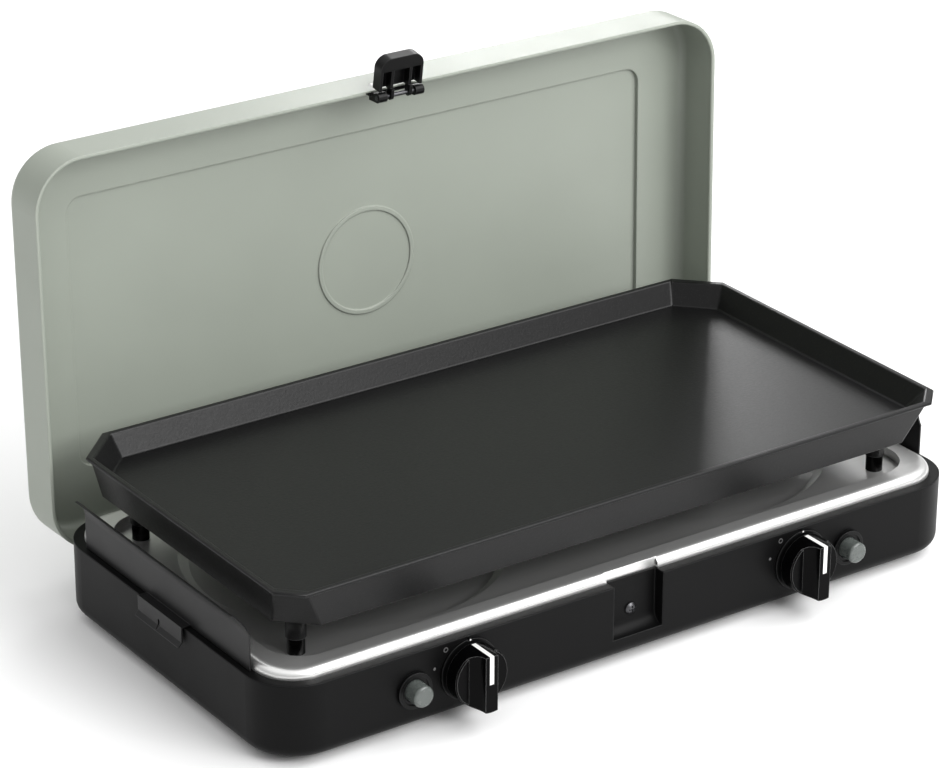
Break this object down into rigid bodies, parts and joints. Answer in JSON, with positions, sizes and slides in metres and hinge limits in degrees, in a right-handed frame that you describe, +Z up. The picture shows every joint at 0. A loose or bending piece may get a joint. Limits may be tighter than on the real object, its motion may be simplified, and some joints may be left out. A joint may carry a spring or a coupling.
{
  "type": "camping stove",
  "caption": "Portable gas camping stove with a hinged metal lid, side wind shields, turn knobs, igniter buttons and a flat griddle plate on legs.",
  "frame": {"origin": "middle of the flat underside of the housing, at the mouth of its drain hole; the feet stand down from it", "axes": "+X to the right along the stove's width, -Y towards the control side, +Z up"},
  "size_m": [0.5394, 0.3354, 0.3235],
  "materials": {
    "black_powder_coat": "satin black powder coat on steel",
    "shield_coat": "satin black powder coat on thin steel",
    "green_paint": "sage green satin powder coat on steel",
    "stainless_steel": "brushed stainless steel with a polished edge",
    "nonstick": "cast aluminium with a fine speckled non-stick coating",
    "foot_sleeve": "smooth black heat-resistant silicone",
    "rubber": "matt black rubber",
    "black_screw": "blackened steel",
    "cast_aluminium": "as-cast aluminium",
    "enamel": "matt black enamel on steel",
    "plated_steel": "zinc-plated steel",
    "rivet": "plain aluminium rivet",
    "brass": "machined brass",
    "black_plastic": "fine-grained black moulded plastic",
    "knob_plastic": "satin black moulded plastic",
    "white_mark": "white pad-printed line",
    "grey_button": "smoked translucent grey plastic",
    "latch_plastic": "satin black moulded plastic",
    "latch_pin_metal": "dark plated steel",
    "lead_sleeve": "silicone sleeve",
    "ceramic": "glazed white ceramic"
  },
  "bodies": {
    "base": {"housing": "black_powder_coat", "rubber_feet": "rubber", "hob_top": "stainless_steel", "latch_catch_screw": "black_screw", "left_burner_bowl": "cast_aluminium", "right_burner_bowl": "cast_aluminium", "left_burner_cap": "enamel", "right_burner_cap": "enamel", "burner_screws": "plated_steel", "left_gas_valve": "brass", "right_gas_valve": "brass", "left_injector": "brass", "right_injector": "brass", "gas_manifold": "plated_steel", "gas_inlet": "brass", "left_igniter_body": "black_plastic", "right_igniter_body": "black_plastic", "left_ignition_lead": "lead_sleeve", "right_ignition_lead": "lead_sleeve", "left_spark_electrode": "ceramic", "right_spark_electrode": "ceramic", "left_knob_bezel": "black_plastic", "right_knob_bezel": "black_plastic", "base_hinge_brackets": "plated_steel", "base_hinge_rivets": "rivet", "hinge_pins": "plated_steel"},
    "lid": {"lid_shell": "green_paint", "lid_hinge_leaves": "plated_steel", "lid_hinge_rivets": "rivet", "latch_bracket": "latch_plastic", "latch_rivets": "rivet", "latch_pin": "latch_pin_metal"},
    "latch": {"latch_flap": "latch_plastic"},
    "left_turning_washer": {"left_spindle_washer": "plated_steel"},
    "left_knob": {"left_knob": "knob_plastic", "left_knob_pointer": "white_mark", "left_spindle": "brass"},
    "right_turning_washer": {"right_spindle_washer": "plated_steel"},
    "right_knob": {"right_knob": "knob_plastic", "right_knob_pointer": "white_mark", "right_spindle": "brass"},
    "left_button": {"left_igniter_button": "grey_button"},
    "right_button": {"right_igniter_button": "grey_button"},
    "griddle": {"griddle_plate": "nonstick", "griddle_foot_sleeves": "foot_sleeve"},
    "left_shield": {"left_wind_shield": "shield_coat"},
    "right_shield": {"right_wind_shield": "shield_coat"}
  },
  "joints": [
    {"name": "lid_hinge", "type": "hinge", "parent": "base", "child": "lid", "pos_m": [0, 0.1223, 0.0391], "axis": [-1, 0, 0], "range_deg": [-32, 0]},
    {"name": "latch_hinge", "type": "hinge", "parent": "lid", "child": "latch", "pos_m": [0, 0.13297, 0.29073], "axis": [-1, 0, 0], "range_deg": [-80, 12]},
    {"name": "left_knob_turn", "type": "hinge", "parent": "base", "child": "left_turning_washer", "pos_m": [-0.129, -0.133, 0.0282], "axis": [0, -1, 0], "range_deg": [0, 200]},
    {"name": "left_knob_push", "type": "slide", "parent": "left_turning_washer", "child": "left_knob", "axis": [0, 1, 0], "range_m": [0, 0.002], "stiffness_N_per_m": 1500, "springref_m": -0.003},
    {"name": "right_knob_turn", "type": "hinge", "parent": "base", "child": "right_turning_washer", "pos_m": [0.129, -0.133, 0.0282], "axis": [0, -1, 0], "range_deg": [0, 200]},
    {"name": "right_knob_push", "type": "slide", "parent": "right_turning_washer", "child": "right_knob", "axis": [0, 1, 0], "range_m": [0, 0.002], "stiffness_N_per_m": 1500, "springref_m": -0.003},
    {"name": "left_button_push", "type": "slide", "parent": "base", "child": "left_button", "axis": [0, 1, 0], "range_m": [0, 0.0045], "stiffness_N_per_m": 1500, "springref_m": -0.002},
    {"name": "right_button_push", "type": "slide", "parent": "base", "child": "right_button", "axis": [0, 1, 0], "range_m": [0, 0.0045], "stiffness_N_per_m": 1500, "springref_m": -0.002},
    {"name": "griddle_lift", "type": "slide", "parent": "base", "child": "griddle", "axis": [0, 0, 1], "range_m": [0, 0.06]},
    {"name": "left_wind_shield_lift", "type": "slide", "parent": "base", "child": "left_shield", "axis": [0, 0, 1], "range_m": [0, 0.04]},
    {"name": "right_wind_shield_lift", "type": "slide", "parent": "base", "child": "right_shield", "axis": [0, 0, 1], "range_m": [0, 0.04]}
  ]
}
